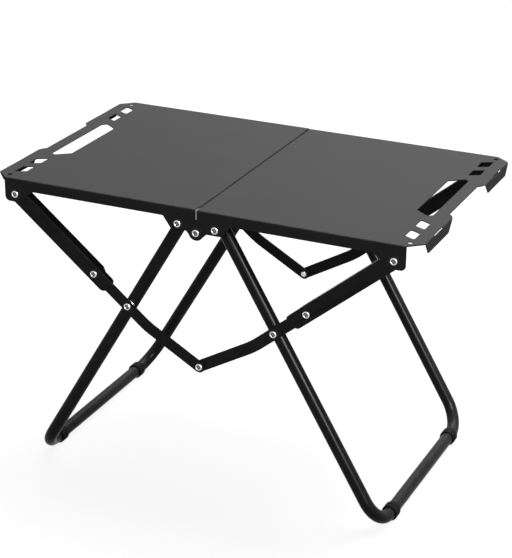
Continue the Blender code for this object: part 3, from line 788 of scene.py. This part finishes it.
# Turned pieces: a grid is wrapped round each place's axis, which lies along Y. Each place holds
# which way it faces, its length, and whether it has a head and a tail.
def makeTurnedTree(name, profile, tailFrom):
    rings = profile[-1][0]
    widest = max(radius for ring, radius, rise, soft in profile)
    highest = max(rise for ring, radius, rise, soft in profile)
    tree, given = startTree(name, {
        "Shank radius": "Float", "Sides": "Int", "Floor": "Float", "Finish": "Material"})
    columns = addNode(tree, "ShaderNodeMath", {"operation": "ADD"}, {0: given["Sides"], 1: 1})
    grid = addNode(tree, "GeometryNodeMeshGrid", None, {
        "Size X": 1, "Size Y": 1, "Vertices X": rings + 1, "Vertices Y": columns.outputs[0]})
    flat = addNode(tree, "ShaderNodeSeparateXYZ", None, {
        "Vector": addNode(tree, "GeometryNodeInputPosition").outputs[0]})
    blank = grid.outputs["Mesh"]
    for label, axis in (("ringShare", "X"), ("turnShare", "Y")):
        share = addNode(tree, "ShaderNodeMath", {"operation": "ADD"}, {
            0: flat.outputs[axis], 1: 0.5})
        blank = addNode(tree, "GeometryNodeStoreNamedAttribute", {"data_type": "FLOAT"}, {
            "Geometry": blank, "Name": label, "Value": share.outputs[0]}).outputs[0]
    places = addNode(tree, "GeometryNodeStoreNamedAttribute", {"data_type": "FLOAT_VECTOR"}, {
        "Geometry": given["Geometry"], "Name": "place",
        "Value": addNode(tree, "GeometryNodeInputPosition").outputs[0]})
    copies = addNode(tree, "GeometryNodeInstanceOnPoints", None, {
        "Points": places.outputs[0], "Instance": blank})
    loose = addNode(tree, "GeometryNodeRealizeInstances", None, {"Geometry": copies.outputs[0]})

    def read(label, kind="FLOAT"):
        found = addNode(tree, "GeometryNodeInputNamedAttribute", {"data_type": kind}, {
            "Name": label})
        return found.outputs["Attribute"]

    def work(operation, *values):
        node = addNode(tree, "ShaderNodeMath", {"operation": operation}, dict(enumerate(values)))
        return node.outputs[0]

    def follow(column, top):
        node = addNode(tree, "ShaderNodeFloatCurve", None, {"Value": read("ringShare")})
        line = node.mapping.curves[0]
        while len(line.points) < len(profile):
            line.points.new(0.5, 0.5)
        for point, row in zip(line.points, profile):
            point.location = (row[0] / rings, row[column] / top)
            point.handle_type = "AUTO" if row[3] else "VECTOR"
        node.mapping.update()
        return work("MULTIPLY", node.outputs[0], top)

    facing = read("facing")
    isTail = work("GREATER_THAN", read("ringShare"), (tailFrom - 0.5) / rings)
    lip = work("MULTIPLY_ADD", isTail, work("SUBTRACT", read("tail"), read("head")), read("head"))
    limit = work("MULTIPLY_ADD", lip, widest, given["Shank radius"])
    radius = work("MINIMUM", follow(1, widest), limit)
    rise = work("MULTIPLY", follow(2, highest), lip)
    rise = work("MULTIPLY", rise, work("MULTIPLY_ADD", isTail, -2, 1))
    along = work("SUBTRACT", rise, work("MULTIPLY", isTail, read("length")))
    angle = work("MULTIPLY", work("MULTIPLY", read("turnShare"), facing), -2 * math.pi)
    local = addNode(tree, "ShaderNodeCombineXYZ", None, {
        "X": work("MULTIPLY", work("COSINE", angle), radius),
        "Y": work("MULTIPLY", along, facing),
        "Z": work("MULTIPLY", work("SINE", angle), radius)})
    moved = addNode(tree, "ShaderNodeVectorMath", {"operation": "ADD"}, {
        0: local.outputs[0], 1: read("place", "FLOAT_VECTOR")})
    farAway = -1e6  # only Z is held above the floor
    floor = addNode(tree, "ShaderNodeCombineXYZ", None, {
        "X": farAway, "Y": farAway, "Z": given["Floor"]})
    moved = addNode(tree, "ShaderNodeVectorMath", {"operation": "MAXIMUM"}, {
        0: moved.outputs[0], 1: floor.outputs[0]})
    turned = addNode(tree, "GeometryNodeSetPosition", None, {
        "Geometry": loose.outputs[0], "Position": moved.outputs[0]})
    closed = addNode(tree, "GeometryNodeMergeByDistance", None, {
        "Geometry": turned.outputs[0], "Distance": meshing["turnedJoinWithin"]})
    smooth = addNode(tree, "GeometryNodeSetShadeSmooth", None, {"Geometry": closed.outputs[0]})
    endTree(tree, smooth.outputs[0], given["Finish"])
    return tree


def placeMesh(rows):
    base = bpy.data.meshes.new("places")
    base.from_pydata([row["place"] for row in rows], [], [])
    for label in ("facing", "length", "head", "tail"):
        values = base.attributes.new(label, "FLOAT", "POINT")
        values.data.foreach_set("value", [row[label] for row in rows])
    return base


# Rivet: its head is a domed ring round a sunk middle, and its tail is set flat. Profile rows
# are ring, radius, rise and whether the line runs smoothly through. The crown stays a hair under
# the head's height, so that it clears the link's plate when the table is folded.
rivet = {
    "profile": [
        (0, 0, 0.5, False),
        (4, 2.2, 0.45, True),
        (7, 2.75, 0.75, True),
        (10, 3.2, 1.35, True),
        (13, 3.75, 1.46, True),
        (18, 4.7, 0.85, True),
        (21, 5, 0, False),
        (22, 2.5, 0, False),
        (24, 2.5, 0, False),
        (25, 4.2, 0, False),
        (28, 4.1, 0.7, True),
        (30, 3.4, 1.2, True),
        (32, 0, 1.2, False),
    ],
    "tailFrom": 24,
    "shank": 2.5,
    "headHeight": 1.5,
    "tailHeight": 1.2,
    "sides": 40,
}


# Spacer, washer or bush: a plain ring with its edges broken
plainRing = {
    "bore": 2.8,
    "edge": 0.2,
    "narrowRadius": 4.8,
    "wideRadius": 8.2,
}


def ringShape(radius):
    bore, edge = plainRing["bore"], plainRing["edge"]
    return {
        "profile": [
            (0, bore, edge, False),
            (8, radius - edge, edge, False),
            (9, radius, 0, False),
            (15, radius, 0, False),
            (16, radius, 0, False),
            (17, radius - edge, edge, False),
            (32, bore, edge, False),
        ],
        "tailFrom": 16,
        "shank": 2.5,
        "headHeight": edge,
        "tailHeight": edge,
        "sides": 40,
    }


# Foot sleeve: a moulded ring with rounded ends, flat where it stands
footSleeve = {
    "profile": [
        (0, 9, 0.9, False),
        (4, 10.2, 0.9, False),
        (6, 10.84, 0.64, True),
        (8, 11.1, 0, False),
        (15, 11.1, 0, False),
        (16, 11.1, 0, False),
        (18, 10.84, 0.64, True),
        (20, 10.2, 0.9, False),
        (32, 9, 0.9, False),
    ],
    "tailFrom": 16,
    "shank": 8.7,
    "headHeight": 0.9,
    "tailHeight": 0.9,
    "sides": 72,
}


faceWithin = 0.1    # how near an end face a corner lies
headMargin = 0.5    # a head or tail is at least this much wider than the shank


def readTurned(node, size):
    low, high = (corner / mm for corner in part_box(node))
    middle = (low + high) / 2
    side = near if middle.y < 0 else far
    outer = max(side * low.y, side * high.y)
    inner = min(side * low.y, side * high.y)
    shape = [vertex.co / mm for vertex in frame["nodes"][node].data.vertices]

    def isWide(y):
        width = max((v.xz - middle.xz).length for v in shape if abs(side * v.y - y) < faceWithin)
        return width > size["shank"] + headMargin

    head, tail = isWide(outer), isWide(inner)
    seat = outer - size["headHeight"] * head
    return {"place": Vector((middle.x, side * seat, middle.z)), "facing": side, "head": head,
            "tail": tail, "length": seat - inner - size["tailHeight"] * tail}


def makeTurned(word, kinds, size, finish):
    tree = makeTurnedTree(word, size["profile"], size["tailFrom"])
    for body, nodes in bodyNodes.items():
        found = [node for node in nodes if any(kind in node for kind in kinds)]
        if not found:
            continue
        rows = [readTurned(node, size) for node in found]
        if word == "foot_sleeves":
            for row in rows:
                row["place"].z = footAxis.y
        mesh = meshOf(growThing(tree, placeMesh(rows), {
            "Shank radius": size["shank"], "Sides": size["sides"], "Floor": 0, "Finish": finish}))
        mesh.set_sharp_from_angle(angle=math.radians(meshing["turnedSharpAngle"]))
        mesh.transform(Matrix.Scale(mm, 4))
        addPiece(f"{body}_{word}", mesh, body, found, finish)


makeTurned("rivets", ["rivet"], rivet, zincFinish)
narrowRing = ringShape(plainRing["narrowRadius"])
wideRing = ringShape(plainRing["wideRadius"])
makeTurned("washers", ["washer", "bush"], narrowRing, zincFinish)
makeTurned("wide_washers", ["cross_spacer"], wideRing, zincFinish)
makeTurned("spacers", ["leg_pivot_spacer"], narrowRing, tubeFinish)
makeTurned("foot_sleeves", ["foot_sleeve"], footSleeve, rubberFinish)
print("rivets, rings and sleeves made")


# Where the photo was taken from, in metres, degrees and millimetres of lens and sensor
cameraView = {
    "place": (0.95103, -2.08412, 1.22842),
    "azimuth": 24.51,
    "elevation": 23.01,
    "roll": 0.44,
    "lens": 115.48,
    "sensor": 36,
    "nearest": 0.05,
}


def setCamera():
    camera = bpy.data.cameras.new("camera")
    camera.lens = cameraView["lens"]
    camera.sensor_width = cameraView["sensor"]
    camera.clip_start = cameraView["nearest"]
    holder = bpy.data.objects.new("camera", camera)
    azimuth, elevation, roll = (
        math.radians(cameraView[angle]) for angle in ("azimuth", "elevation", "roll"))
    holder.matrix_world = (
        Matrix.Translation(cameraView["place"]) @ Matrix.Rotation(azimuth, 4, "Z")
        @ Matrix.Rotation(quarterTurn - elevation, 4, "X") @ Matrix.Rotation(roll, 4, "Z"))
    scene.collection.objects.link(holder)
    scene.camera = holder


# Soft boxes: where each hangs, what it looks at, its sides in metres and its power in watts.
# The last one is a card that only shows in what shines, as a light line along the tubes.
softBoxes = {
    "top_box": ((0.3, 1.2, 2.9), (0, 0, 0.4), (2.7, 2.4), 255),
    "back_box": ((-0.7, 4.2, 2.35), (0, 0, 0.4), (2.2, 1.9), 26),
    "front_box": ((0.55, -2.7, 1.75), (0, 0, 0.3), (0.8, 0.8), 16),
    "shine_card": ((2.05, -1.6, 1.5), (0, -0.1, 0.25), (0.6, 1.6), 420),
}


def setLights():
    for name, (place, aim, sides, power) in softBoxes.items():
        lamp = bpy.data.lights.new(name, "AREA")
        lamp.shape = "RECTANGLE"
        lamp.size, lamp.size_y = sides
        lamp.energy = power
        holder = bpy.data.objects.new(name, lamp)
        holder.location = place
        holder.visible_diffuse = name != "shine_card"
        holder.rotation_euler = (Vector(aim) - Vector(place)).to_track_quat("-Z", "Y").to_euler()
        scene.collection.objects.link(holder)


def seenShare(tree):
    rays = addNode(tree, "ShaderNodeLightPath").outputs
    seen = addNode(tree, "ShaderNodeMath", {"operation": "MAXIMUM"}, {
        0: rays["Is Camera Ray"], 1: rays["Is Glossy Ray"]})
    seen = addNode(tree, "ShaderNodeMath", {"operation": "MAXIMUM"}, {
        0: seen.outputs[0], 1: rays["Is Transmission Ray"]})
    return seen.outputs[0]


# White paper sweep: what the camera and reflections see is white, and it keeps a soft shadow
studio = {
    "floorSize": 14,
    "floorTone": "#707070",
    "floorGlow": 0.9,
    "roomLevel": 0.07,
}


def setStudio():
    bpy.ops.mesh.primitive_plane_add(size=studio["floorSize"])
    floor = bpy.context.object
    floor.name = "floor"
    paper = bpy.data.materials.new("paper")
    paper.use_nodes = True
    tree = paper.node_tree
    tree.nodes.clear()
    seen = seenShare(tree)
    tone = addNode(tree, "ShaderNodeMix", {"data_type": "RGBA"}, {
        "Factor": seen, 6: fromHex(studio["floorTone"]), 7: white})
    matt = addNode(tree, "ShaderNodeBsdfDiffuse", None, {"Color": tone.outputs[2]})
    glow = addNode(tree, "ShaderNodeEmission", None, {"Color": white, "Strength": 1})
    share = addNode(tree, "ShaderNodeMath", {"operation": "MULTIPLY"}, {
        0: seen, 1: studio["floorGlow"]})
    mix = addNode(tree, "ShaderNodeMixShader", None, {
        0: share.outputs[0], 1: matt.outputs[0], 2: glow.outputs[0]})
    addNode(tree, "ShaderNodeOutputMaterial", None, {"Surface": mix.outputs[0]})
    floor.data.materials.append(paper)
    world = bpy.data.worlds.new("studio")
    world.use_nodes = True
    tree = world.node_tree
    tree.nodes.clear()
    strength = addNode(tree, "ShaderNodeMapRange", None, {
        "Value": seenShare(tree), "To Min": studio["roomLevel"], "To Max": 1})
    room = addNode(tree, "ShaderNodeBackground", None, {
        "Color": white, "Strength": strength.outputs[0]})
    addNode(tree, "ShaderNodeOutputWorld", None, {"Surface": room.outputs[0]})
    scene.world = world


setCamera()
setLights()
setStudio()
scene.view_settings.view_transform = "Standard"
print("studio set")
